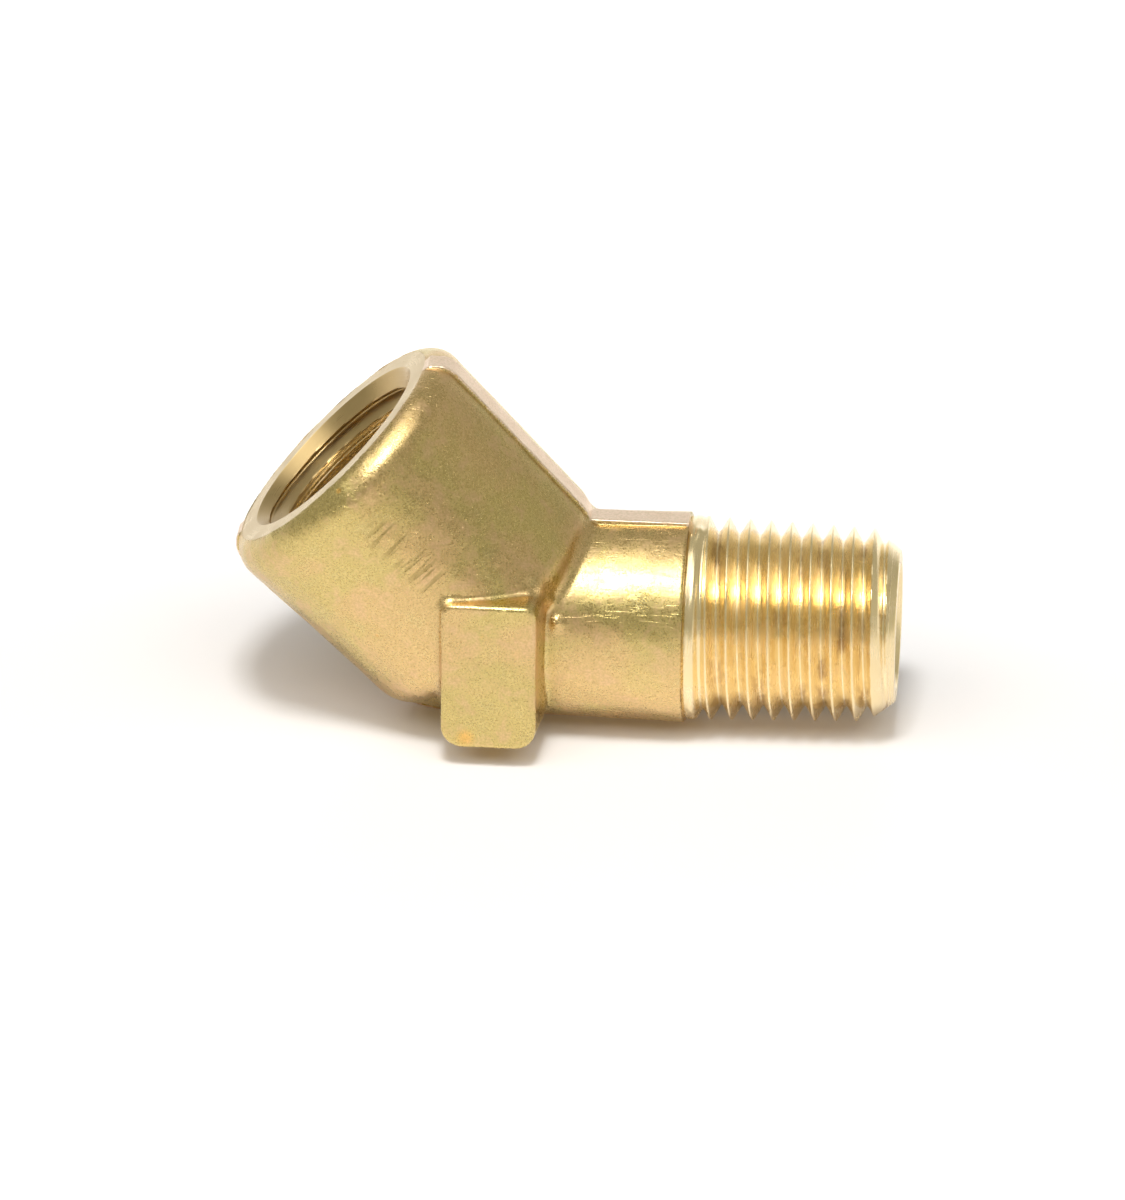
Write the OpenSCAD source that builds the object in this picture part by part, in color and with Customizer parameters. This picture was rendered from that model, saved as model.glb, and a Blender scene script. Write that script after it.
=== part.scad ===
// 45 degree street elbow: a forged brass pipe fitting, taper female thread in
// the head and taper male thread on the leg. +X runs out of the male end, the
// bend lies in the XZ plane and +Z is up. All sizes are in millimetres.

/* [Bend] */
// Angle between the male leg's line and the head's line
bend_angle = 45; // [40:1:50]

/* [Head] */
// Centre of the bend to the head's face
head_len = 16.3; // [15.5:0.1:20]
// Diameter of the head at its face, before the edge is rounded
head_d = 20.2; // [19.4:0.05:22]
// Draft of the forged head, each side
head_draft = 2; // [0:0.1:2.2]
// Radius of the head's outer edge
rim_round = 1.3; // [0.6:0.1:1.5]
// Radius of the head's lower edge, towards the bend
root_round = 2; // [1:0.1:3]

/* [Female port] */
// Tapping drill
tap_drill_d = 11.11; // [10.8:0.01:11.4]
// Depth of the tapping drill's full diameter below the face
tap_drill_depth = 14.2; // [13:0.1:14.5]
// Length of the internal thread below the face
female_thread_len = 9.6; // [8:0.1:10]
// Diameter of the countersink at the face
countersink_d = 14.6; // [13.7:0.1:15]

/* [Neck] */
// Centre of the bend to the end of the forged neck
neck_len = 12.7; // [12:0.1:15]
// Diameter of the neck at its outer end
neck_d = 14.3; // [14.2:0.02:15.5]
// Draft of the forged neck, each side
neck_draft = 1; // [0:0.1:1.5]
// Centre of the bend back to the middle of the knuckle's ball
knuckle_back = 3.4; // [2.5:0.1:3.6]

/* [Male end] */
// Centre of the bend to the tip of the male end
male_len = 27; // [26:0.1:32]
// Length of the plain turned band between the neck and the thread
relief_len = 0.6; // [0.4:0.1:1.5]
// Diameter of the plain turned band
relief_d = 13.4; // [13:0.05:13.8]
// Diameter of the tip's flat face
tip_d = 10.3; // [9.8:0.1:10.8]
// Length of the lead-in chamfer at the tip
tip_chamfer = 1.8; // [1:0.1:2.5]
// Diameter of the flow bore
male_bore_d = 7.94; // [6:0.02:8]

/* [Taper pipe thread] */
// Threads per inch
tpi = 18; // [18:1:20]
// Pitch diameter at the tip of the male thread
pitch_d = 12.126; // [12:0.001:12.2]
// How far the male thread's crests are taken down from their full height
crest_cut = 0.12; // [0:0.01:0.15]
// Pitch diameter at the face of the female thread
female_pitch_d = 12.487; // [12.4:0.001:12.6]

/* [Wrench pads] */
// Width of a pad along the male leg
pad_w = 6.35; // [5:0.05:8]
// Height of a pad
pad_h = 10.4; // [8:0.1:11]
// Distance across the two pads' flats
pad_across = 20.64; // [20.4:0.02:23]
// Distance that the pads' middle lies below the male leg's line
pad_drop = 0.55; // [0:0.05:1.5]
// Corner radius of a pad
pad_round = 1.4; // [0.4:0.1:1.8]

/* [Parting line] */
// Width of the trimmed flash
flash_w = 1.9; // [1:0.1:3]
// Height of the trimmed flash above the skin
flash_h = 0.16; // [0.1:0.02:0.3]

/* [Hidden] */

$fn = 96;
fine_fn = 360;
big = 80;
eps = 0.01;

// Forged outline
head_r = head_d / 2;
head_root_r = head_r - head_len * tan(head_draft);
root_edge_r = head_root_r - root_round;
rim_y = head_len - rim_round;
rim_r = head_r - rim_round * (1 + tan(head_draft));

// The knuckle is a ball that blends the neck's underside into the head's side
neck_r = neck_d / 2;
knuckle_r = neck_r - (neck_len + knuckle_back) * tan(neck_draft);
knuckle_x = -knuckle_back;

// The turned face takes in the countersink and the flat land around it
face_depth = 2;

// Taper pipe thread: 1 in 16 on the diameter, height 0.8 of the pitch
pitch = 25.4 / tpi;
taper = 1 / 32;
ridge_h = 0.8 * pitch;
thread_steps = 40;
drill_tip = 118;
bore_edge = 0.4;

thread_start_x = neck_len + relief_len;
tip_r = tip_d / 2;
core_tip_r = (pitch_d - ridge_h) / 2;
crest_tip_r = core_tip_r + ridge_h - crest_cut;
chamfer_slope = (crest_tip_r - tip_r) / tip_chamfer;
chamfer_core_x = male_len - (core_tip_r - tip_r) / chamfer_slope;
core_root_r = core_tip_r + (male_len - thread_start_x) * taper;
female_root_r = (female_pitch_d + ridge_h) / 2;
female_end_root_r = female_root_r - female_thread_len * taper;
tap_r = tap_drill_d / 2;
countersink_r = countersink_d / 2;

// Distance from the bend's centre to the lowest point and to the middle of the length
rest_h = neck_r + flash_h;
left_x = -sin(bend_angle) * (rim_y + rim_r) - rim_round;
mid_x = (male_len + left_x) / 2;

// Stands the part on its underside, with its length centred on the origin
module placed() {
    translate([-mid_x, 0, rest_h]) children();
}

// Turns what is drawn along +Z onto the head's line
module along_head() {
    rotate([0, bend_angle - 90, 0]) children();
}

// Turns what is drawn along +Z onto the male leg's line
module along_male() {
    rotate([0, 90, 0]) children();
}

// Space on one side of the head's root plane: 1 is the head's side, -1 the neck's
module beside_head(side) {
    along_head() translate([0, 0, side * big / 2]) cube(big, center = true);
}

// Space on one side of the bend's centre: 1 is the male end's side, -1 the other
module beside_centre(side) {
    translate([side * big / 2, 0, 0]) cube(big, center = true);
}

// Profile of the forged head, on the head's line, with both edges rounded
module head_profile() {
    polygon([
        [0, 0],
        [root_edge_r, 0],
        [root_edge_r, root_round],
        [head_root_r + root_round * tan(head_draft), root_round],
        [head_root_r + rim_y * tan(head_draft), rim_y],
        [rim_r, rim_y],
        [rim_r, head_len],
        [0, head_len],
    ]);
    intersection() {
        translate([root_edge_r, root_round]) circle(root_round * (1 + tan(head_draft)));
        translate([root_edge_r, 0]) square([root_round * 2, root_round]);
    }
    intersection() {
        translate([rim_r, rim_y]) circle(rim_round);
        translate([rim_r, rim_y]) square(rim_round * 2);
    }
}

// Profile of the forged neck, on the male leg's line, with the knuckle's ball at its root
module neck_profile() {
    polygon([
        [0, knuckle_x],
        [knuckle_r, knuckle_x],
        [neck_r, neck_len],
        [0, neck_len],
    ]);
    intersection() {
        translate([0, knuckle_x]) circle(knuckle_r);
        translate([0, knuckle_x - 2 * knuckle_r]) square(2 * knuckle_r);
    }
}

// Solid forged head
module head_blank() {
    along_head() rotate_extrude() head_profile();
}

// Solid forged neck and knuckle
module neck_blank() {
    along_male() rotate_extrude() neck_profile();
}

// Everything that the forging dies shape, without the pads and the flash
module forged_blank() {
    head_blank();
    neck_blank();
}

// A drilled hole from z = 0 down, with the drill's cone at its bottom
module drilled_hole(r, depth) {
    cone = r / tan(drill_tip / 2);
    translate([0, 0, -depth]) cylinder(h = depth + 1, r = r);
    translate([0, 0, -depth - cone]) cylinder(h = cone, r1 = 0, r2 = r);
}

// The tapping drill's hole in the head
module port_drilling() {
    along_head() translate([0, 0, head_len]) drilled_hole(tap_r, tap_drill_depth);
}

// The flow bore in the male leg
module male_drilling() {
    along_male() translate([0, 0, male_len]) drilled_hole(male_bore_d / 2, male_len);
}

// The tapered space that the internal thread fills
module thread_pocket() {
    along_head() translate([0, 0, head_len - female_thread_len])
        cylinder(h = female_thread_len + eps, r1 = female_end_root_r, r2 = female_root_r);
}

// The disc that the turned face and its countersink take up
module face_disc(grow = 0) {
    along_head() translate([0, 0, head_len - face_depth])
        cylinder(h = face_depth + grow, r = rim_r);
}

// A helical ridge around +Z from z0 to z1, fading in and out over half a turn.
// Its root is at root_r + z * slope. out is 1 for a male ridge, -1 for a female.
// crest(r, z) trims the male ridge to the tip's chamfer, the female to the drilled hole.
module ridge(z0, z1, root_r, slope, out, height) {
    turns = (z1 - z0) / pitch;
    last = floor(turns * thread_steps);
    half_foot = 0.46 * pitch;
    flat = half_foot * (1 - height / ridge_h) + 0.04 * pitch;
    sink = 0.03;
    function fade(i) = min(1, min(i, last - i) / (thread_steps / 2));
    function crest(r, z) = out > 0 ? min(r, tip_r - z * chamfer_slope) : max(r, tap_r);
    function ring(i) =
        let (a = 360 * i / thread_steps,
             z = z0 + pitch * i / thread_steps,
             r0 = root_r + z * slope,
             f = max(0.12, fade(i)),
             r1 = crest(r0 + out * height * f, z),
             w = half_foot * f,
             c = min(flat, w / 2))
        [for (p = [[r0 - out * sink, z - w], [r1, z - c], [r1, z + c], [r0 - out * sink, z + w]])
            [p[0] * cos(a), p[0] * sin(a), p[1]]];
    points = [for (i = [0:last]) each ring(i)];
    side = [for (i = [0:last - 1], k = [0:3])
        let (a = 4 * i + k, b = 4 * i + (k + 1) % 4)
        [a, b, b + 4, a + 4]];
    faces = concat([[3, 2, 1, 0]], side, [[for (k = [0:3]) 4 * last + k]]);
    polyhedron(points, out > 0 ? faces : [for (f = faces) [for (k = [len(f) - 1:-1:0]) f[k]]],
               convexity = 10);
}

// Forged head with its drilled and tapped port
module socket_head() {
    color("darkkhaki") placed() difference() {
        intersection() {
            forged_blank();
            beside_head(1);
        }
        face_disc(1);
        thread_pocket();
        port_drilling();
        male_drilling();
    }
}

// Turned face of the port, with its countersink
module port_face() {
    color("gold") placed() difference() {
        face_disc();
        thread_pocket();
        along_head() translate([0, 0, head_len - (countersink_r - tap_r)])
            cylinder(h = countersink_r - tap_r + eps, r1 = tap_r, r2 = countersink_r + eps);
    }
}

// Internal taper pipe thread
module female_thread() {
    color("goldenrod") placed() along_head() translate([0, 0, head_len])
        ridge(-female_thread_len + pitch / 2, -pitch, female_root_r, taper, -1, ridge_h);
}

// Outside of the bend
module knuckle() {
    color("darkkhaki") placed() difference() {
        intersection() {
            neck_blank();
            beside_head(-1);
            beside_centre(-1);
        }
        port_drilling();
        male_drilling();
    }
}

// Round forged neck
module neck() {
    color("khaki") placed() difference() {
        intersection() {
            neck_blank();
            beside_head(-1);
            beside_centre(1);
        }
        port_drilling();
        male_drilling();
    }
}

// Outline of one wrench pad, with round corners
module pad_outline() {
    inner_w = pad_w - 2 * pad_round;
    inner_h = pad_h - 2 * pad_round;
    square([pad_w, inner_h], center = true);
    square([inner_w, pad_h], center = true);
    for (x = [-inner_w / 2, inner_w / 2], y = [-inner_h / 2, inner_h / 2])
        translate([x, y]) circle(pad_round);
}

// The two wrench pads, front and back
module wrench_pads() {
    color("khaki") placed() difference() {
        translate([0, pad_across / 2, -pad_drop]) rotate([90, 0, 0])
            linear_extrude(pad_across) pad_outline();
        forged_blank();
    }
}

// Outline of the flash in the plane of the bend
module flash_outline() {
    flash_r = neck_r + flash_h;
    rotate(180 - bend_angle) polygon([
        [0, -head_root_r - flash_h],
        [rim_y, -head_root_r - rim_y * tan(head_draft) - flash_h],
        [rim_y, head_root_r + rim_y * tan(head_draft) + flash_h],
        [0, head_root_r + flash_h],
    ]);
    translate([knuckle_x, -flash_r]) square([neck_len - knuckle_x, 2 * flash_r]);
    translate([knuckle_x, 0]) circle(flash_r);
}

// Trimmed flash along the parting line, proud of the skin all round the bend
module parting_line() {
    color("tan") placed() difference() {
        translate([0, flash_w / 2, 0]) rotate([90, 0, 0]) linear_extrude(flash_w) flash_outline();
        forged_blank($fn = fine_fn);
    }
}

// Turned male end: plain band, tapered core, chamfered tip and flow bore
module male_spigot() {
    color("gold") placed() difference() {
        along_male() rotate_extrude() polygon([
            [0, neck_len],
            [relief_d / 2, neck_len],
            [relief_d / 2, thread_start_x - (relief_d / 2 - core_root_r)],
            [core_root_r, thread_start_x],
            [core_tip_r, chamfer_core_x],
            [tip_r, male_len],
            [0, male_len],
        ]);
        male_drilling();
        along_male() translate([0, 0, male_len - bore_edge])
            cylinder(h = bore_edge + eps, r1 = male_bore_d / 2, r2 = male_bore_d / 2 + bore_edge);
    }
}

// External taper pipe thread
module male_thread() {
    color("goldenrod") placed() translate([male_len, 0, 0]) along_male()
        ridge(thread_start_x - male_len, chamfer_core_x - male_len, core_tip_r, -taper, 1,
              ridge_h - crest_cut);
}

socket_head();
port_face();
female_thread();
knuckle();
neck();
wrench_pads();
parting_line();
male_spigot();
male_thread();
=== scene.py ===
"""Looks of a forged brass 45 degree street elbow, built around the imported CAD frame.

The forged skin is meshed from a distance function, so that its fillets, draft and
trimmed flash are real geometry. The turned and threaded ends are swept on their own
axes. Shapes are worked out in millimetres about the bend's centre, and placed in metres.
"""
import math

import bpy
import numpy as np
from mathutils import Matrix, Vector


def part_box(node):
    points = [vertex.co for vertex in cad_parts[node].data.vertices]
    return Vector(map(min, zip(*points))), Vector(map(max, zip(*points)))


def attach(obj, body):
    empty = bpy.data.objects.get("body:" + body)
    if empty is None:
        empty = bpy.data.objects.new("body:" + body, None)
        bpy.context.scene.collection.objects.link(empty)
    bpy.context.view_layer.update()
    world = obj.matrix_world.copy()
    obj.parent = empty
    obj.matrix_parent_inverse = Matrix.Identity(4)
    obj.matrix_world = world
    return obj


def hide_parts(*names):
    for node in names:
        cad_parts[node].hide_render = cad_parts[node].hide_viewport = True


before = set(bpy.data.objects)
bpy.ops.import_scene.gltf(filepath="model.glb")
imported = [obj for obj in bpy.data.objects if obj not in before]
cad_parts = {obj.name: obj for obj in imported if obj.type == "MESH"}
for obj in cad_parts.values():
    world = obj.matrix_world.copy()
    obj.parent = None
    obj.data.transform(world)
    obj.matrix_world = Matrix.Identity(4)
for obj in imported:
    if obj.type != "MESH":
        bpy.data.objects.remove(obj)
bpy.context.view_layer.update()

MM = 0.001

# ---------------------------------------------------------------- sizes in millimetres
# As in the CAD model. x and t are measured from the bend's centre, along the male leg and the head
HEAD_LEN = 16.3
HEAD_ROOT_R = 9.531
HEAD_DRAFT = math.tan(math.radians(2))
ROOT_ROUND = 2.0
NECK_LEN = 12.7
NECK_R = 7.15
NECK_DRAFT = math.tan(math.radians(1))
KNUCKLE_X = -3.4
KNUCKLE_R = NECK_R - (NECK_LEN - KNUCKLE_X) * NECK_DRAFT
MALE_LEN = 27.0
TIP_R = 5.15
TIP_CHAMFER = 1.8
BORE_R = 3.97
TAP_R = 5.555
TAP_DEPTH = 14.2
TAP_POINT = math.radians(59)
COUNTERSINK_R = 7.3
FACE_DEPTH = 2.0
FACE_LOW = HEAD_LEN - FACE_DEPTH
PITCH = 25.4 / 18
TAPER = 1 / 32
RIDGE_H = 0.8 * PITCH
CREST_CUT = 0.12
MALE_PITCH_D = 12.126
MALE_CORE_TIP_R = (MALE_PITCH_D - RIDGE_H) / 2
FEMALE_PITCH_D = 12.487
FEMALE_ROOT_R = (FEMALE_PITCH_D + RIDGE_H) / 2
PAD_HALF_W = 3.175
PAD_HALF_H = 5.2
PAD_Y = 10.32
PAD_DROP = 0.55
PAD_ROUND = 1.4
PAD_DRAFT = math.tan(math.radians(5))
PAD_DRAFT_DEPTH = 4.0
FLASH_HALF_W = 0.95
FLASH_H = 0.16

# Finer than CAD: the rim's rounding is bigger and the facing cut trims it, and the pads'
# upper corners are tighter
RIM_ROUND = 2.0
RIM_TRIM = 0.11
RIM_T = HEAD_LEN + RIM_TRIM - RIM_ROUND
FACE_R = (HEAD_ROOT_R + RIM_T * HEAD_DRAFT - RIM_ROUND * math.hypot(1, HEAD_DRAFT)
          + math.sqrt(RIM_ROUND ** 2 - (RIM_ROUND - RIM_TRIM) ** 2))
PAD_TOP_ROUND = 0.8

# Edges and fillets of the forged skin. The pads' fillet grows on the side next to the head
NECK_END_ROUND = 0.12
PAD_EDGE_ROUND = 0.3
FLASH_EDGE_ROUND = 0.06
BEND_FILLET = 0.9
PAD_FILLET = 0.32
PAD_FILLET_GROWTH = 0.35
PAD_FILLET_RUN = 1.6
FLASH_FILLET = 0.07

# How far the pads' and the flash's own zones reach past their outlines, and into the skin
PAD_ZONE_MARGIN = 1.1
PAD_ZONE_INNER_Y = 5.6
FLASH_ZONE_HALF_W = 1.16
FLASH_ZONE_DEPTH = 0.7

# The female thread's own piece, and where one of its grooves passes: below the face, at an angle
FEMALE_LOW = HEAD_LEN - 9.7
POCKET_R = 7.25
GROOVE_BELOW = 1.6
GROOVE_ANGLE = 1.1
FEMALE_THREAD_END = 9.4
FEMALE_RUN_OUT = 1.2

# The male thread's piece, where its first crest passes on top, and the burr at its start
RELIEF_END = 13.15
MALE_THREAD_START = 13.3
MALE_RUN_IN = 1.0
MALE_THREAD_END = 26.55
MALE_INNER_R = 4.9
FIRST_CREST = 13.94
BURR_X = 13.55
BURR_ANGLE = 1.75
BURR_H = 0.3
BURR_LENGTH = 0.3
BURR_SPREAD = 0.12

# The bend's centre in the frame: on the male leg's line, its length back from the tip
spigot_low, spigot_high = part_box("male_spigot")
CENTRE = np.array([spigot_high.x / MM - MALE_LEN, 0.0, (spigot_low.z + spigot_high.z) / 2 / MM])
ROOT_HALF = math.sqrt(0.5)
HEAD_AXIS = np.array([-ROOT_HALF, 0.0, ROOT_HALF])
HEAD_SIDE = np.array([ROOT_HALF, 0.0, ROOT_HALF])

# Two directions across each leg and one along it, to sweep its pieces round
HEAD_AXES = (np.array([0, -1.0, 0]), HEAD_SIDE, HEAD_AXIS)
MALE_AXES = (np.array([0, 1.0, 0]), np.array([0, 0, 1.0]), np.array([1.0, 0, 0]))


# ---------------------------------------------------------------- distance functions
def join_round(a, b, r):
    """Union of two solids with a concave fillet of radius r."""
    u, v = np.maximum(r - a, 0), np.maximum(r - b, 0)
    return np.maximum(r, np.minimum(a, b)) - np.sqrt(u * u + v * v)


def meet_round(a, b, r):
    """Intersection of two solids with a convex rounding of radius r."""
    u, v = np.maximum(r + a, 0), np.maximum(r + b, 0)
    return np.minimum(-r, np.maximum(a, b)) + np.sqrt(u * u + v * v)


def head_coords(p):
    """Distance along the head's line, across it in the bend's plane, and from it."""
    t = p @ HEAD_AXIS
    s = p @ HEAD_SIDE
    return t, s, np.sqrt(s * s + p[..., 1] ** 2)


def head_solid(t, rho):
    side = (rho - HEAD_ROOT_R - t * HEAD_DRAFT) / math.hypot(1, HEAD_DRAFT)
    blank = meet_round(meet_round(side, t - HEAD_LEN - RIM_TRIM, RIM_ROUND), -t, ROOT_ROUND)
    return np.maximum(blank, t - HEAD_LEN)


def neck_solid(p):
    """The neck's drafted cone, and the knuckle's ball behind it."""
    x = p[..., 0]
    rho = np.hypot(p[..., 1], p[..., 2])
    cone = (rho - NECK_R + (NECK_LEN - x) * NECK_DRAFT) / math.hypot(1, NECK_DRAFT)
    ball = np.hypot(rho, x - KNUCKLE_X) - KNUCKLE_R
    return meet_round(np.where(x > KNUCKLE_X, cone, ball), x - NECK_LEN, NECK_END_ROUND)


def pad_outline(p):
    """Distance from the pads' outline, seen square on; the upper corners are tighter."""
    r = np.where(p[..., 2] > 0, PAD_TOP_ROUND, PAD_ROUND)
    qx = np.abs(p[..., 0]) - PAD_HALF_W + r
    qz = np.abs(p[..., 2] + PAD_DROP) - PAD_HALF_H + r
    corner = np.hypot(np.maximum(qx, 0), np.maximum(qz, 0))
    return corner + np.minimum(np.maximum(qx, qz), 0) - r


def pad_solid(p):
    """The wrench pads: round-cornered outline, drafted sides, softened face edge."""
    depth = np.maximum(PAD_Y - np.abs(p[..., 1]), 0)
    grow = np.minimum(depth, PAD_DRAFT_DEPTH) * PAD_DRAFT
    return meet_round(pad_outline(p) - grow, np.abs(p[..., 1]) - PAD_Y, PAD_EDGE_ROUND)


def pad_fillet(p):
    toward_head = np.clip((-PAD_FILLET_RUN - p[..., 0]) / PAD_FILLET_RUN, 0, 1)
    return PAD_FILLET + PAD_FILLET_GROWTH * toward_head


def flash_outline(p, t, s):
    """The flash's outline in the bend's plane, standing proud of the skin."""
    x, z = p[..., 0], p[..., 2]
    r = NECK_R + FLASH_H
    head = np.maximum(head_solid(t, np.abs(s)) - FLASH_H, np.maximum(-t, t - HEAD_LEN))
    neck = np.maximum(np.abs(z) - r, np.maximum(KNUCKLE_X - x, x - NECK_LEN))
    ball = np.hypot(x - KNUCKLE_X, z) - r
    return np.minimum(np.minimum(head, neck), ball)


def flash_solid(p, t, s):
    return meet_round(flash_outline(p, t, s), np.abs(p[..., 1]) - FLASH_HALF_W, FLASH_EDGE_ROUND)


def drillings(p, t, rho):
    """The tapped hole's pocket, the tapping drill's hole and the flow bore."""
    tap_floor = HEAD_LEN - TAP_DEPTH
    pocket = np.maximum(rho - POCKET_R, FEMALE_LOW - t)
    pocket = np.minimum(pocket, np.maximum(rho - FACE_R, FACE_LOW - t))
    point = (rho - TAP_R + (tap_floor - t) * math.tan(TAP_POINT)) * math.cos(TAP_POINT)
    drill = np.maximum(rho - TAP_R, point)
    bore = np.maximum(np.hypot(p[..., 1], p[..., 2]) - BORE_R, -p[..., 0])
    return np.minimum(np.minimum(pocket, drill), bore)


def waviness(p):
    """The uneven skin that the dies leave, a few hundredths of a millimetre."""
    x, y, z = p[..., 0], p[..., 1], p[..., 2]
    a = np.sin(0.9 * x + 1.3 * z + 0.7 * np.sin(0.8 * y + 0.4))
    b = np.sin(1.7 * y - 1.1 * x + 0.9 * np.sin(1.1 * z))
    c = np.sin(2.9 * z + 2.3 * x - 1.9 * y + 1.3 * np.sin(0.7 * x))
    return 0.012 * a + 0.010 * b + 0.006 * c


# Lumps (above 0) and dents (below 0): centre, radius and height
LUMPS = [
    ((2.9, -7.7, 5.1), 0.75, 0.30),
    ((3.9, -6.8, 3.6), 0.6, 0.32),
    ((4.3, -6.9, 2.2), 0.5, 0.2),
    ((-10.28, -9.47, 12.39), 0.16, -0.07),
    ((-7.66, -8.72, 1.5), 0.2, -0.06),
    ((-0.6, -9.3, 8.3), 0.2, -0.05),
    ((-3.2, -9.4, 8.9), 0.25, -0.04),
    ((-12.2, -8.9, 8.0), 0.3, -0.04),
    ((1.9, -8.2, 7.2), 0.22, -0.05),
    ((0.2, -6.1, 11.4), 0.2, -0.05),
]


def spots(p, places):
    """Sum of round soft spots, each (centre, radius, strength)."""
    total = np.zeros(p.shape[:-1])
    for centre, radius, strength in places:
        d2 = ((p - np.array(centre)) ** 2).sum(-1) / radius ** 2
        total += strength * np.exp(-d2)
    return total


def forging(p):
    """Distance from the whole forging's skin, with its drillings taken out."""
    t, s, rho = head_coords(p)
    body = join_round(head_solid(t, rho), neck_solid(p), BEND_FILLET)
    body = join_round(body - spots(p, LUMPS), pad_solid(p), pad_fillet(p))
    body = join_round(body + waviness(p), flash_solid(p, t, s), FLASH_FILLET)
    return np.maximum(body, -drillings(p, t, rho))


# ---------------------------------------------------------------- named zones
# The forging is one shape in named zones. A border function is 0 on its zone's edge
def in_pads(p):
    return np.maximum(pad_outline(p) - PAD_ZONE_MARGIN, PAD_ZONE_INNER_Y - np.abs(p[..., 1]))


def in_flash(p):
    t, s, _ = head_coords(p)
    return np.maximum(np.abs(p[..., 1]) - FLASH_ZONE_HALF_W,
                      -FLASH_ZONE_DEPTH - flash_outline(p, t, s))


def past_head(p):
    return p @ HEAD_AXIS


def past_bend(p):
    return p[..., 0]


OUTSIDE, HEAD, KNUCKLE, NECK, PADS, FLASH = range(6)
ZONE_NODES = {HEAD: "socket_head", KNUCKLE: "knuckle", NECK: "neck",
              PADS: "wrench_pads", FLASH: "parting_line"}
BORDERS = [forging, in_pads, in_flash, past_head, past_bend]


def zone_at(p):
    zone = np.where(past_head(p) > 0, HEAD, np.where(past_bend(p) < 0, KNUCKLE, NECK))
    zone = np.where(in_flash(p) < 0, FLASH, zone)
    zone = np.where(in_pads(p) < 0, PADS, zone)
    return np.where(forging(p) < 0, zone, OUTSIDE).astype(np.int8)


def border_between(a, b):
    """Which of BORDERS parts zones a and b."""
    def either(zone):
        return (a == zone) | (b == zone)
    return np.select([either(OUTSIDE), either(PADS), either(FLASH), either(HEAD)], [0, 1, 2, 3], 4)


# ---------------------------------------------------------------- meshing
def gradient(f, p, h=0.004):
    """The unit direction in which f grows at each point."""
    g = np.empty_like(p)
    for k in range(3):
        step = np.zeros(3)
        step[k] = h
        g[:, k] = f(p + step) - f(p - step)
    return g / np.maximum(np.linalg.norm(g, axis=1, keepdims=True), 1e-12)


def by_border(which, p, work):
    """Runs work(border function, points) on each border's own points."""
    out = None
    for index, border in enumerate(BORDERS):
        mine = which == index
        if mine.any():
            part = work(border, p[mine])
            if out is None:
                out = np.zeros((len(p),) + part.shape[1:])
            out[mine] = part
    return out


def zone_grid(low, high, cell):
    """The zone at every point of a grid, one slice at a time."""
    count = np.ceil((high - low) / cell).astype(int) + 1
    x, y, z = (low[k] + cell * np.arange(count[k]) for k in range(3))
    zone = np.empty(count, np.int8)
    yy, zz = np.meshgrid(y, z, indexing="ij")
    for i, here in enumerate(x):
        zone[i] = zone_at(np.stack([np.full_like(yy, here), yy, zz], -1))
    return zone


def edge_crossings(zone, low, cell, k):
    """Grid edges along axis k whose two ends lie in different zones.

    Gives each one's two zones, their border, the point where the edge crosses it, and
    the four cells round the edge.
    """
    first = tuple(slice(0, -1) if j == k else slice(None) for j in range(3))
    second = tuple(slice(1, None) if j == k else slice(None) for j in range(3))
    at = np.argwhere(zone[first] != zone[second])
    zone_a, zone_b = zone[first][tuple(at.T)], zone[second][tuple(at.T)]
    which = border_between(zone_a, zone_b)
    unit = np.eye(3, dtype=int)
    start, end = low + cell * at, low + cell * (at + unit[k])
    at_start = by_border(which, start, lambda border, p: border(p))
    at_end = by_border(which, end, lambda border, p: border(p))
    part = np.clip(at_start / (at_start - at_end + 1e-12), 0, 1)
    hit = start + (end - start) * part[:, None]
    u, v = unit[(k + 1) % 3], unit[(k + 2) % 3]
    ring = np.stack([at, at - u, at - u - v, at - v], 1)
    quad = np.ravel_multi_index(tuple(np.moveaxis(ring, -1, 0)), zone.shape)
    return zone_a, zone_b, which, hit, quad


def cell_points(cells, points, normals, cell, pull=0.06, reach=0.7):
    """One point per cell, where the tangent planes at its crossings meet as nearly as can be.

    pull holds it to the crossings' middle, and reach is how many cells it may leave that by.
    """
    used, index = np.unique(cells, return_inverse=True)
    n = len(used)
    hits = np.bincount(index, minlength=n)
    middle = np.stack([np.bincount(index, points[:, k], n) / hits for k in range(3)], 1)
    offset = np.einsum("ij,ij->i", normals, points - middle[index])
    left = np.zeros((n, 3, 3))
    right = np.zeros((n, 3))
    for i in range(3):
        right[:, i] = np.bincount(index, normals[:, i] * offset, n)
        for j in range(3):
            left[:, i, j] = np.bincount(index, normals[:, i] * normals[:, j], n)
    left += pull * np.eye(3)
    move = np.linalg.solve(left, right[..., None])[..., 0]
    return used, middle + np.clip(move, -reach * cell, reach * cell)


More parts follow.
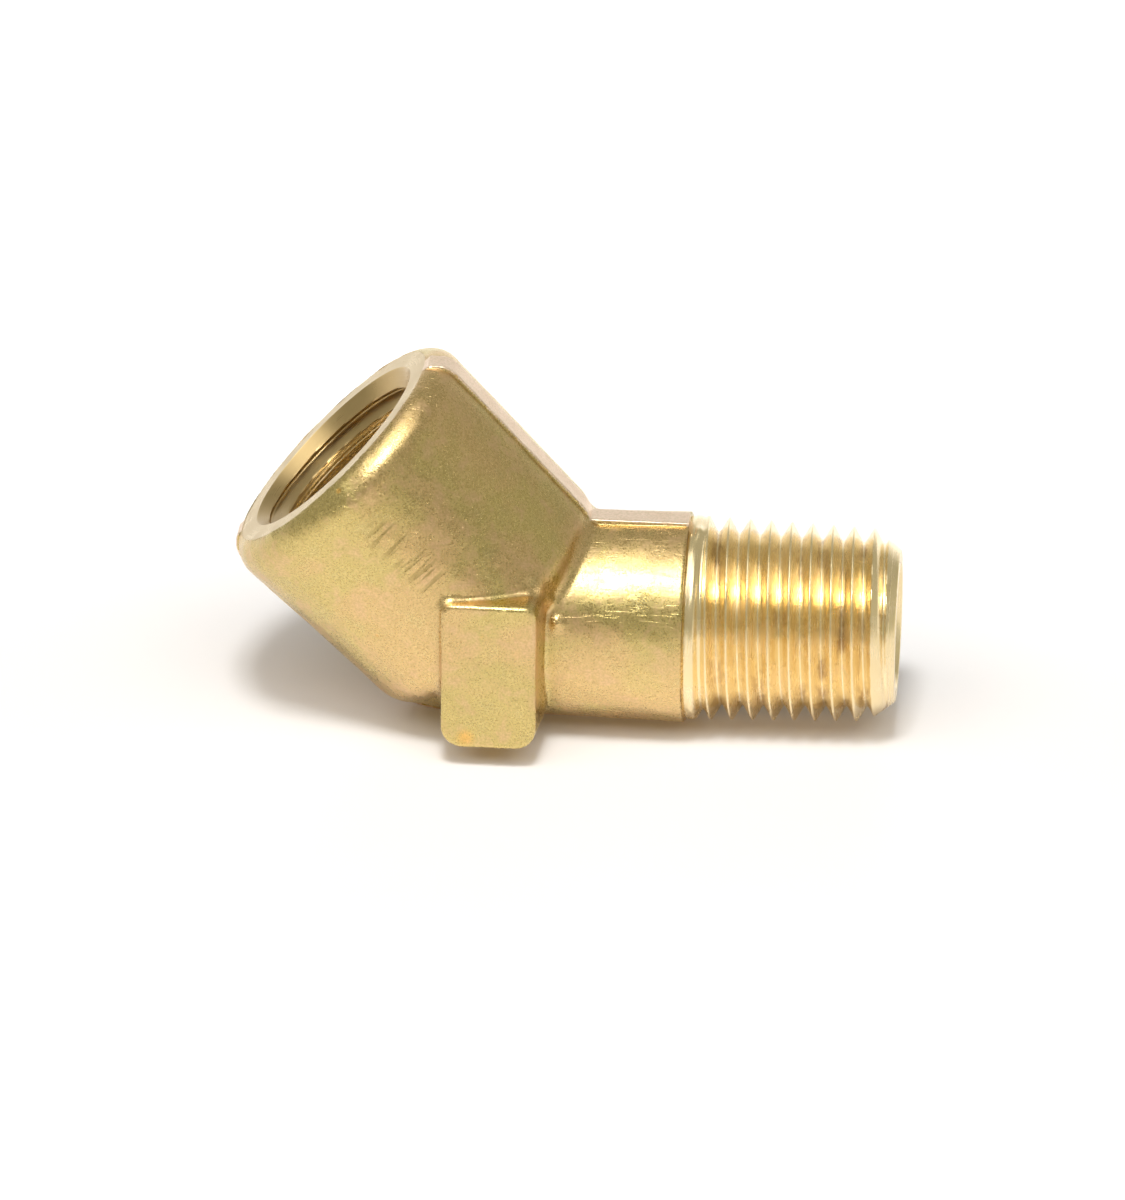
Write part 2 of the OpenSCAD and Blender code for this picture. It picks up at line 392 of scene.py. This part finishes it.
def contour_zones(low, high, cell):
    """Dual contouring of all zones at once: one point per cell, shared by every zone there.

    Neighbouring zones get the very same points along their seams, so they close up exactly.
    Gives the points, and each zone's quads with the border that each quad lies on.
    """
    low, high = np.array(low, float), np.array(high, float)
    zone = zone_grid(low, high, cell)
    cells, points, normals = [], [], []
    quads = {z: [] for z in ZONE_NODES}
    borders = {z: [] for z in ZONE_NODES}
    for k in range(3):
        zone_a, zone_b, which, hit, quad = edge_crossings(zone, low, cell, k)
        cells.append(quad.ravel())
        points.append(np.repeat(hit, 4, axis=0))
        normals.append(np.repeat(by_border(which, hit, gradient), 4, axis=0))
        for z in ZONE_NODES:
            quads[z] += [quad[zone_a == z], quad[zone_b == z][:, ::-1]]
            borders[z] += [which[zone_a == z], which[zone_b == z]]
    cells, points, normals = (np.concatenate(a) for a in (cells, points, normals))
    used, verts = cell_points(cells, points, normals, cell)
    for z in ZONE_NODES:
        quads[z] = np.searchsorted(used, np.concatenate(quads[z]))
        borders[z] = np.concatenate(borders[z])
    return verts, quads, borders


def corner_normals(verts, faces, border, inward=0.2):
    """The surface's own normal just inside each corner of each face."""
    corners = verts[faces]
    near = corners * (1 - inward) + corners.mean(1)[:, None, :] * inward
    return by_border(np.repeat(border, 4), near.reshape(-1, 3), gradient)


def make_piece(name, verts, faces, node, normals=None, lathe=None, marks=None):
    """A mesh object in the frame, from millimetres about the bend's centre."""
    mesh = bpy.data.meshes.new(name)
    mesh.vertices.add(len(verts))
    mesh.vertices.foreach_set("co", ((verts + CENTRE) * MM).astype(np.float32).ravel())
    sides = faces.shape[1]
    mesh.loops.add(faces.size)
    mesh.loops.foreach_set("vertex_index", faces.astype(np.int32).ravel())
    mesh.polygons.add(len(faces))
    mesh.polygons.foreach_set("loop_start", np.arange(0, faces.size, sides, dtype=np.int32))
    mesh.polygons.foreach_set("loop_total", np.full(len(faces), sides, np.int32))
    mesh.update(calc_edges=True)
    mesh.validate()
    mesh.polygons.foreach_set("use_smooth", np.ones(len(mesh.polygons), bool))
    if lathe is not None:
        layer = mesh.attributes.new("lathe", "FLOAT_VECTOR", "POINT")
        layer.data.foreach_set("vector", lathe.astype(np.float32).ravel())
    for key, value in (marks or {}).items():
        layer = mesh.attributes.new(key, "FLOAT", "POINT")
        layer.data.foreach_set("value", value.astype(np.float32))
    if normals is not None:
        mesh.normals_split_custom_set(normals.tolist())
    obj = bpy.data.objects.new(name, mesh)
    bpy.context.scene.collection.objects.link(obj)
    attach(obj, "root")
    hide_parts(node)
    return obj


# ---------------------------------------------------------------- the forging
CELL = 0.15
# Off round numbers, so that no flat face lies on a plane of grid points
GRID_LOW = (-19.263, -10.863, -7.913)
GRID_HIGH = (13.2, 10.9, 19.3)
# How far the painted shade at the join of the head and the neck reaches
BEND_SHADE_REACH = 0.9
FLASH_MARK_SPREAD = 0.03
FLASH_MARK_DEPTH = 0.06

# Amber stains: centre, radius and strength
STAINS = [
    ((-1.5, -10.3, -5.0), 0.75, 0.8),
    ((-0.43, -10.3, 2.5), 0.3, 0.45),
    ((1.9, -10.3, 1.3), 0.7, 0.35),
    ((-10.19, -9.32, 12.26), 0.24, 1.0),
    ((-7.66, -8.72, 1.5), 0.2, 0.7),
]


def forging_marks(verts):
    """Where the material shows trimmed flash, painted shade where the head meets the neck, and
    stains.
    """
    t, s, rho = head_coords(verts)
    on_strip = np.abs(verts[:, 1]) < FLASH_HALF_W + FLASH_MARK_SPREAD
    proud = flash_outline(verts, t, s) > -FLASH_MARK_DEPTH
    # Painted shade: darkest where the head's and the neck's skins meet, fading away from both
    gap = np.abs(head_solid(t, rho)) + np.abs(neck_solid(verts))
    return {"flash": (on_strip & proud).astype(float), "bend_shade": np.exp(-gap / BEND_SHADE_REACH),
            "stain": np.minimum(spots(verts, STAINS), 1)}


def build_forging(material):
    verts, quads, borders = contour_zones(GRID_LOW, GRID_HIGH, CELL)
    marks = forging_marks(verts)
    for zone, node in ZONE_NODES.items():
        used, faces = np.unique(quads[zone], return_inverse=True)
        faces = faces.reshape(-1, 4)
        obj = make_piece("forged_" + node, verts[used], faces, node,
                         normals=corner_normals(verts[used], faces, borders[zone]),
                         marks={key: value[used] for key, value in marks.items()})
        obj.data.materials.append(material)


# ---------------------------------------------------------------- swept pieces
def ring_faces(rows, cols):
    """Quads of a rows by cols grid that is joined round both ways."""
    i, j = np.meshgrid(np.arange(rows), np.arange(cols), indexing="ij")
    i2, j2 = (i + 1) % rows, (j + 1) % cols
    return np.stack([i * cols + j, i * cols + j2, i2 * cols + j2, i2 * cols + j], -1).reshape(-1, 4)


def turned(radius_at, stations, turns, axes):
    """A closed outline swept round an axis. radius_at(angles) gives a row of radii per angle."""
    angle = np.linspace(0, 2 * math.pi, turns, endpoint=False)
    u, v, w = axes
    r = radius_at(angle)
    along = np.broadcast_to(stations, r.shape)
    cos, sin = np.cos(angle)[:, None], np.sin(angle)[:, None]
    verts = (r * cos)[..., None] * u + (r * sin)[..., None] * v + along[..., None] * w
    run = np.concatenate([[0], np.cumsum(np.hypot(np.diff(r[0]), np.diff(along[0])))])
    lathe = np.stack([np.broadcast_to(part, r.shape) for part in (cos, sin, run)], -1)
    return verts.reshape(-1, 3), ring_faces(*r.shape), lathe.reshape(-1, 3)


def sleeve(surface, low, high, step, far_r, turns, axes):
    """A ring from low to high: surface(place, angle) on one side, plain round on the other."""
    place = np.linspace(low, high, int((high - low) / step))
    stations = np.concatenate([[low], place, [high]])

    def radius_at(angle):
        far = np.full((len(angle), 1), far_r)
        return np.concatenate([far, surface(place[None, :], angle[:, None]), far], 1)

    return turned(radius_at, stations, turns, axes)


def rounded_profile(corners, steps=5, most=0.45):
    """A closed outline of (station, radius, rounding) with its corners rounded.

    A rounding takes at most that part of a side.
    """
    out = []
    pts = np.array([[c[0], c[1]] for c in corners], float)
    for k, (_, _, r) in enumerate(corners):
        here, before, after = pts[k], pts[k - 1], pts[(k + 1) % len(pts)]
        if r <= 0:
            out.append(here)
            continue
        a, b = before - here, after - here
        len_a, len_b = np.linalg.norm(a), np.linalg.norm(b)
        r = min(r, most * len_a, most * len_b)
        a, b = here + a / len_a * r, here + b / len_b * r
        for q in np.linspace(0, 1, steps):
            out.append((1 - q) ** 2 * a + 2 * q * (1 - q) * here + q * q * b)
    return np.array(out)


def subdivide(profile, longest):
    """Adds points to a closed outline so that no step is longer than longest."""
    out = []
    for a, b in zip(profile, np.roll(profile, -1, axis=0)):
        n = max(1, int(math.ceil(np.linalg.norm(b - a) / longest)))
        out.extend(a + (b - a) * i / n for i in range(n))
    return np.array(out)


def thread_profile(phase, depth, crest_flat, root_round):
    """0 at the crest and depth at the root, for a phase in turns: 60 degree flanks."""
    off_crest = np.abs((phase + 0.5) % 1.0 - 0.5) * PITCH
    drop = (off_crest - crest_flat) * math.tan(math.radians(60))
    soft = 0.5 * (drop + depth - np.sqrt((drop - depth) ** 2 + root_round ** 2))
    return 0.5 * (soft + np.sqrt(soft * soft + 0.2 * root_round ** 2))


def crest_radius(x):
    return MALE_CORE_TIP_R + RIDGE_H - CREST_CUT + (MALE_LEN - x) * TAPER


def chamfer_radius(x):
    """The lead-in chamfer's cone at the male tip."""
    return TIP_R + (MALE_LEN - x) * (crest_radius(MALE_LEN) - TIP_R) / TIP_CHAMFER


def male_thread_radius(x, angle):
    """Outer surface of the male thread at x, at an angle about the leg's line."""
    phase = (x - FIRST_CREST) / PITCH - (angle - math.pi / 2) / (2 * math.pi)
    run_in = np.clip((x - MALE_THREAD_START) / MALE_RUN_IN, 0, 1)
    cut = thread_profile(phase, RIDGE_H - CREST_CUT, crest_flat=0.04, root_round=0.08)
    cut = cut * run_in ** 2 * (3 - 2 * run_in)
    burr = BURR_H * np.exp(-((x - BURR_X) / BURR_LENGTH) ** 2
                           - ((angle - BURR_ANGLE) / BURR_SPREAD) ** 2)
    return np.minimum(crest_radius(x) - cut + burr, chamfer_radius(x))


def build_male_thread():
    verts, faces, lathe = sleeve(male_thread_radius, RELIEF_END, MALE_THREAD_END, step=0.045,
                                 far_r=MALE_INNER_R, turns=288, axes=MALE_AXES)
    groove = (crest_radius(verts[:, 0]) - np.hypot(verts[:, 1], verts[:, 2])) / RIDGE_H
    obj = make_piece("male_thread", verts, faces, "male_thread",
                     lathe=lathe, marks={"groove": np.clip(groove, 0, 1)})
    obj.data.set_sharp_from_angle(angle=math.radians(70))
    return obj


def build_male_spigot(turns=256):
    """The relief and the tip, each side of the thread's piece, and the core that joins them."""
    band_r = crest_radius(RELIEF_END)
    seat_r = 6.2
    lip = 0.4
    corners = [
        (NECK_LEN - lip, BORE_R, 0),
        (NECK_LEN - lip, seat_r, 0),
        (NECK_LEN, seat_r, 0),
        (NECK_LEN, band_r - 0.12, 0.02),
        (RELIEF_END, band_r, 0),
        (RELIEF_END, MALE_INNER_R, 0),
        (MALE_THREAD_END, MALE_INNER_R, 0),
        (MALE_THREAD_END, chamfer_radius(MALE_THREAD_END), 0),
        (MALE_LEN, TIP_R, 0.12),
        (MALE_LEN, BORE_R + lip, 0.04),
        (MALE_LEN - lip, BORE_R, 0.04),
    ]
    profile = subdivide(rounded_profile(corners), 0.9)
    verts, faces, lathe = turned(lambda angle: np.tile(profile[:, 1], (turns, 1)),
                                 profile[:, 0], turns, MALE_AXES)
    obj = make_piece("male_spigot", verts, faces, "male_spigot", lathe=lathe)
    obj.data.set_sharp_from_angle(angle=math.radians(28))
    return obj


def female_thread_radius(t, angle):
    """Inner surface of the port at t along the head's line, with its 45 degree countersink."""
    below = HEAD_LEN - t
    crest = np.maximum(TAP_R, COUNTERSINK_R - below)
    root = FEMALE_ROOT_R - below * TAPER
    phase = (below - GROOVE_BELOW) / PITCH + (angle - GROOVE_ANGLE) / (2 * math.pi)
    groove = root - thread_profile(phase, RIDGE_H, crest_flat=0.05 * PITCH, root_round=0.16)
    fade = np.clip((FEMALE_THREAD_END - below) / FEMALE_RUN_OUT, 0, 1)
    return np.maximum(crest, TAP_R + (groove - TAP_R) * fade)


def build_female_thread():
    verts, faces, lathe = sleeve(female_thread_radius, FEMALE_LOW, FACE_LOW, step=0.06,
                                 far_r=POCKET_R, turns=256, axes=HEAD_AXES)
    obj = make_piece("female_thread", verts, faces[:, ::-1], "female_thread",
                     lathe=lathe)
    obj.data.set_sharp_from_angle(angle=math.radians(70))
    return obj


def build_port_face(turns=256, step=0.06):
    """The turned face: flat land, countersink and the thread's first grooves."""
    t = np.linspace(FACE_LOW, HEAD_LEN, int(FACE_DEPTH / step))
    land = np.linspace(COUNTERSINK_R, FACE_R, 6)[1:]
    stations = np.concatenate([[FACE_LOW], t, np.full(len(land), HEAD_LEN)])

    def radius_at(angle):
        wall = np.full((turns, 1), FACE_R)
        inside = female_thread_radius(t[None, :], angle[:, None])
        return np.concatenate([wall, inside, np.tile(land, (turns, 1))], 1)

    verts, faces, lathe = turned(radius_at, stations, turns, HEAD_AXES)
    on_land = verts @ HEAD_AXIS > HEAD_LEN - 0.03
    obj = make_piece("port_face", verts, faces[:, ::-1], "port_face",
                     lathe=lathe, marks={"dull": np.where(on_land, 0.65, 0.9)})
    obj.data.set_sharp_from_angle(angle=math.radians(35))
    return obj


# ---------------------------------------------------------------- materials
class NodeTree:
    """Short calls for building a node tree."""

    def __init__(self, tree):
        self.tree = tree
        tree.nodes.clear()

    def plug(self, node, key, value):
        """Links a socket, or sets a plain value."""
        if isinstance(value, bpy.types.NodeSocket):
            self.tree.links.new(value, node.inputs[key])
        else:
            node.inputs[key].default_value = value

    def add(self, kind, inputs=None, **props):
        node = self.tree.nodes.new(kind)
        for key, value in props.items():
            setattr(node, key, value)
        for key, value in (inputs or {}).items():
            self.plug(node, key, value)
        return node

    def math(self, op, a, b=0.0, clamp=False):
        return self.add("ShaderNodeMath", {0: a, 1: b}, operation=op, use_clamp=clamp).outputs[0]

    def ramp(self, value, low, high, to_low=0.0, to_high=1.0):
        return self.add("ShaderNodeMapRange", {0: value, 1: low, 2: high, 3: to_low, 4: to_high},
                        interpolation_type="SMOOTHSTEP").outputs[0]

    def noise(self, vector, scale, detail=3.0, rough=0.5, distort=0.0):
        return self.add("ShaderNodeTexNoise", {"Vector": vector, "Scale": scale, "Detail": detail,
                                               "Roughness": rough, "Distortion": distort}).outputs[0]

    def mapped(self, vector, move=(0, 0, 0), turn=(0, 0, 0), scale=(1, 1, 1)):
        return self.add("ShaderNodeMapping", {0: vector, 1: move, 2: turn, 3: scale}).outputs[0]

    def mix(self, fac, a, b, blend="MIX"):
        node = self.add("ShaderNodeMix", {0: fac, 6: a, 7: b}, data_type="RGBA", blend_type=blend)
        return node.outputs[2]

    def attribute(self, name, output="Fac"):
        return self.add("ShaderNodeAttribute", attribute_name=name).outputs[output]

    def split(self, vector):
        return self.add("ShaderNodeSeparateXYZ", {0: vector}).outputs

    def coordinates(self, kind="Object"):
        return self.add("ShaderNodeTexCoord").outputs[kind]


def new_material(name):
    material = bpy.data.materials.new(name)
    material.use_nodes = True
    return material, NodeTree(material.node_tree)


def millimetres(tree):
    """The place on the object, in millimetres."""
    return tree.mapped(tree.coordinates(), scale=(1000, 1000, 1000))


def finish_metal(tree, color, roughness, height, distance):
    bump = tree.add("ShaderNodeBump", {"Strength": 1.0, "Distance": distance, "Height": height})
    shader = tree.add("ShaderNodeBsdfPrincipled", {"Base Color": color, "Metallic": 1.0,
                                                   "Roughness": roughness, "Normal": bump.outputs[0]})
    tree.add("ShaderNodeOutputMaterial", {"Surface": shader.outputs[0]})


def scratches(tree, where, turn, seed, density):
    """Long thin marks that run one way: 1 on a mark and 0 off it."""
    stretched = tree.mapped(where, turn=turn, scale=(0.22, 3.2, 3.2))
    shifted = tree.add("ShaderNodeVectorMath", {0: stretched, 1: (seed, seed * 1.7, seed * 0.6)},
                       operation="ADD").outputs[0]
    return tree.ramp(tree.noise(shifted, 1.9, 1.0, 0.4, 0.4), density, density + 0.05)


def dragged_marks(tree, where):
    """A patch of short parallel tears on the near side of the head."""
    patch = tree.mapped(where, move=(10.1, 9.7, -15.2))
    patch = tree.mapped(patch, turn=(0, -0.79, 0))
    along, through, across = (tree.math("ABSOLUTE", part) for part in tree.split(patch))
    near = tree.math("MULTIPLY", tree.ramp(along, 3.6, 2.4), tree.ramp(across, 1.5, 0.5))
    near = tree.math("MULTIPLY", near, tree.ramp(through, 2.0, 1.0))
    lines = tree.noise(tree.mapped(patch, turn=(0, 0.35, 0), scale=(2.7, 0.3, 0.24)), 1.0, 1.0, 0.4)
    return tree.math("MULTIPLY", near, tree.ramp(lines, 0.52, 0.61))


def forged_material():
    """The blasted, slightly stained skin of the forging, with its paler trimmed flash."""
    green_brass, red_brass = (0.63, 0.495, 0.195, 1), (0.68, 0.485, 0.22, 1)
    rosy, olive = (0.75, 0.51, 0.29, 1), (0.58, 0.475, 0.21, 1)
    # The brown below is painted shade at the join of head and neck; the amber is staining
    bend_shade_brown, amber = (0.56, 0.42, 0.24, 1), (0.86, 0.50, 0.13, 1)
    flash_pink, tear_brown = (0.95, 0.76, 0.59, 1), (0.34, 0.26, 0.09, 1)

    material, tree = new_material("forged_brass")
    where = millimetres(tree)
    broad = tree.noise(where, 0.16, 3.0, 0.55, 0.6)
    blotch = tree.noise(where, 0.65, 4.0, 0.6, 0.3)
    grain = tree.noise(where, 6.6, 3.0, 0.7)
    flash = tree.attribute("flash")
    tears = dragged_marks(tree, where)

    color = tree.mix(tree.ramp(broad, 0.40, 0.60), green_brass, red_brass)
    color = tree.mix(tree.ramp(blotch, 0.5, 0.68, 0.0, 0.5), color, rosy)
    color = tree.mix(tree.ramp(blotch, 0.46, 0.3, 0.0, 0.4), color, olive)
    # Painted shade: browner and darker where the head meets the neck
    color = tree.mix(tree.ramp(tree.attribute("bend_shade"), 0.25, 0.8, 0.0, 0.2), color, bend_shade_brown)
    color = tree.mix(tree.ramp(tree.attribute("stain"), 0.2, 0.9, 0.0, 0.75), color, amber)
    color = tree.mix(tree.ramp(flash, 0.3, 0.7), color, flash_pink)
    shade = tree.ramp(grain, 0.34, 0.66, 0.88, 1.09)
    blue_shade = tree.ramp(grain, 0.34, 0.66, 0.82, 1.16)
    shade = tree.add("ShaderNodeCombineColor", {0: shade, 1: shade, 2: blue_shade}).outputs[0]
    color = tree.mix(1.0, color, shade, "MULTIPLY")
    color = tree.mix(tree.math("MULTIPLY", tears, 0.6), color, tear_brown)

    rough = tree.math("ADD", tree.ramp(blotch, 0.3, 0.7, 0.24, 0.34),
                      tree.ramp(grain, 0.35, 0.65, -0.04, 0.06))
    rough = tree.math("ADD", rough, tree.math("MULTIPLY", flash, 0.12))

    marks = tree.math("ADD", scratches(tree, where, (0.3, 0.9, 0.2), 3.1, 0.66),
                      scratches(tree, where, (1.2, -0.5, 0.9), 9.4, 0.67), True)
    skin = tree.noise(where, 1.7, 4.0, 0.65)
    height = tree.math("ADD", tree.math("MULTIPLY", grain, 1.1), tree.math("MULTIPLY", skin, 2.4))
    height = tree.math("SUBTRACT", height, tree.math("MULTIPLY", marks, 0.6))
    height = tree.math("SUBTRACT", height, tree.math("MULTIPLY", tears, 2.0))
    finish_metal(tree, color, rough, height, 0.012 * MM)
    return material


def machined_material():
    """Turned brass with tool rings. It is duller on the port face and soiled in the grooves."""
    bright, pale = (0.90, 0.735, 0.43, 1), (0.93, 0.765, 0.48, 1)
    dull_gold, soil_brown = (0.44, 0.31, 0.135, 1), (0.42, 0.27, 0.15, 1)

    material, tree = new_material("machined_brass")
    where = millimetres(tree)
    lathe = tree.attribute("lathe", "Vector")
    rings = tree.noise(tree.mapped(lathe, scale=(0.15, 0.15, 9.0)), 1.0, 3.0, 0.7)
    tint = tree.noise(where, 0.5, 3.0, 0.5)
    dull = tree.attribute("dull")

    color = tree.mix(tree.ramp(tint, 0.3, 0.7), bright, pale)
    color = tree.mix(dull, color, dull_gold)
    soil = tree.noise(tree.mapped(lathe, scale=(1.6, 1.6, 1.1)), 1.0, 4.0, 0.7)
    in_groove = tree.ramp(tree.attribute("groove"), 0.35, 0.8, 0.0, 0.6)
    color = tree.mix(tree.math("MULTIPLY", tree.ramp(soil, 0.52, 0.66), in_groove), color, soil_brown)

    rough = tree.math("ADD", tree.ramp(tint, 0.3, 0.7, 0.20, 0.28),
                      tree.ramp(rings, 0.3, 0.7, -0.02, 0.05))
    rough = tree.math("ADD", rough, tree.math("MULTIPLY", dull, 0.08))
    height = tree.math("ADD", rings, tree.math("MULTIPLY", tree.noise(where, 7.0, 2.0), 0.25))
    finish_metal(tree, color, rough, height, 0.006 * MM)
    return material


# ---------------------------------------------------------------- studio
def build_floor():
    """A pale floor, which turns paler and then glows towards the back; its darker front is painted
    shade.
    """
    bpy.ops.mesh.primitive_plane_add(size=1.6, location=(0, -0.45, 0))
    floor = bpy.context.object
    floor.name = "studio_floor"
    material, tree = new_material("studio_floor")
    back = tree.split(tree.coordinates())[1]
    # Painted shade: darker far in front of the part, as if less light reached the floor there
    pale = tree.ramp(back, 0.28, 0.362, 0.32, 0.58)
    color = tree.add("ShaderNodeCombineColor", {0: pale, 1: pale, 2: pale}).outputs[0]
    glow = tree.ramp(back, 0.445, 0.53, 0.0, 0.5)
    shader = tree.add("ShaderNodeBsdfPrincipled", {"Base Color": color, "Roughness": 0.4, "IOR": 1.4,
                                                   "Emission Color": (1, 1, 1, 1),
                                                   "Emission Strength": glow})
    tree.add("ShaderNodeOutputMaterial", {"Surface": shader.outputs[0]})
    floor.data.materials.append(material)


def build_world():
    """What the metal mirrors: a warm room, brighter behind, low down and at the right."""
    world = bpy.data.worlds.new("studio")
    bpy.context.scene.world = world
    world.use_nodes = True
    tree = NodeTree(world.node_tree)
    x, y, z = tree.split(tree.coordinates("Generated"))
    behind = tree.math("MULTIPLY", tree.ramp(y, 0.72, 0.97), tree.ramp(z, 0.95, 0.2))
    low = tree.ramp(z, 0.05, -0.02)
    right = tree.math("MULTIPLY", tree.ramp(x, 0.7, 0.98), tree.ramp(z, 0.98, 0.5))
    value = tree.math("ADD", tree.math("MULTIPLY", behind, 0.68), 0.45)
    value = tree.math("ADD", value, tree.math("MULTIPLY", low, 0.55))
    value = tree.math("ADD", value, tree.math("MULTIPLY", right, 0.12))
    color = tree.mix(behind, (1.0, 0.97, 0.81, 1), (1.0, 1.0, 1.0, 1))
    background = tree.add("ShaderNodeBackground", {"Color": color, "Strength": value})
    tree.add("ShaderNodeOutputWorld", {"Surface": background.outputs[0]})
    world.cycles_visibility.diffuse = False


def area_light(name, place, size, watts, color=(1, 1, 1), mirrored=True):
    """A soft box aimed at the bend, either mirrored in the metal or lighting the floor.

    place is in metres: to the right of the bend, behind the bend's plane, and above the floor.
    """
    aim = Vector((CENTRE[0] * MM, 0, CENTRE[2] * MM))
    place = Vector((aim.x + place[0], place[1], place[2]))
    data = bpy.data.lights.new(name, "AREA")
    data.shape = "RECTANGLE"
    data.size, data.size_y = size
    data.energy = watts
    data.color = color
    light = bpy.data.objects.new(name, data)
    bpy.context.scene.collection.objects.link(light)
    light.location = place
    light.rotation_euler = (aim - place).to_track_quat("-Z", "Y").to_euler()
    light.visible_glossy = mirrored
    light.visible_diffuse = not mirrored


def build_lights():
    area_light("overhead", (-0.11, -0.13, 0.47), (0.58, 0.36), 1.15)
    area_light("key", (-0.09, -0.25, 0.45), (0.12, 0.12), 0.9)
    area_light("top", (0, -0.25, 0.54), (0.12, 0.12), 3.1, mirrored=False)
    area_light("ceiling", (0, -0.55, 0.85), (2.3, 0.8), 18.5, mirrored=False)
    area_light("fill", (0, -0.50, 0.12), (1.0, 0.16), 4.2, (1.0, 0.67, 0.37), mirrored=False)


def build_camera():
    """A long lens, 24 degrees above the floor and 4.6 degrees round to +X, rolled slightly.

    It looks at a point a little to the right of the bend's centre and above it.
    """
    lift, yaw, roll = (math.radians(a) for a in (24.0, 4.6, 0.6))
    aim_right, aim_up, distance = 4.113, 0.591, 679.8
    away = np.array([math.sin(yaw) * math.cos(lift), -math.cos(yaw) * math.cos(lift), math.sin(lift)])
    right = np.array([math.cos(yaw), math.sin(yaw), 0.0])
    up = np.cross(away, right)
    right, up = (right * math.cos(roll) + up * math.sin(roll),
                 up * math.cos(roll) - right * math.sin(roll))
    place = CENTRE + right * aim_right + up * aim_up + away * distance
    data = bpy.data.cameras.new("camera")
    data.sensor_fit = "HORIZONTAL"
    data.sensor_width = 36.0
    data.lens = 320.0
    data.clip_start, data.clip_end = 0.05, 20.0
    camera = bpy.data.objects.new("camera", data)
    bpy.context.scene.collection.objects.link(camera)
    rows = [[right[k], up[k], away[k], place[k] * MM] for k in range(3)]
    camera.matrix_world = Matrix(rows + [[0, 0, 0, 1]])
    bpy.context.scene.camera = camera


# ---------------------------------------------------------------- the scene
bpy.context.scene.view_settings.view_transform = "Standard"
forged = forged_material()
machined = machined_material()
build_forging(forged)
for build in (build_male_thread, build_male_spigot, build_female_thread, build_port_face):
    build().data.materials.append(machined)
build_floor()
build_world()
build_lights()
build_camera()
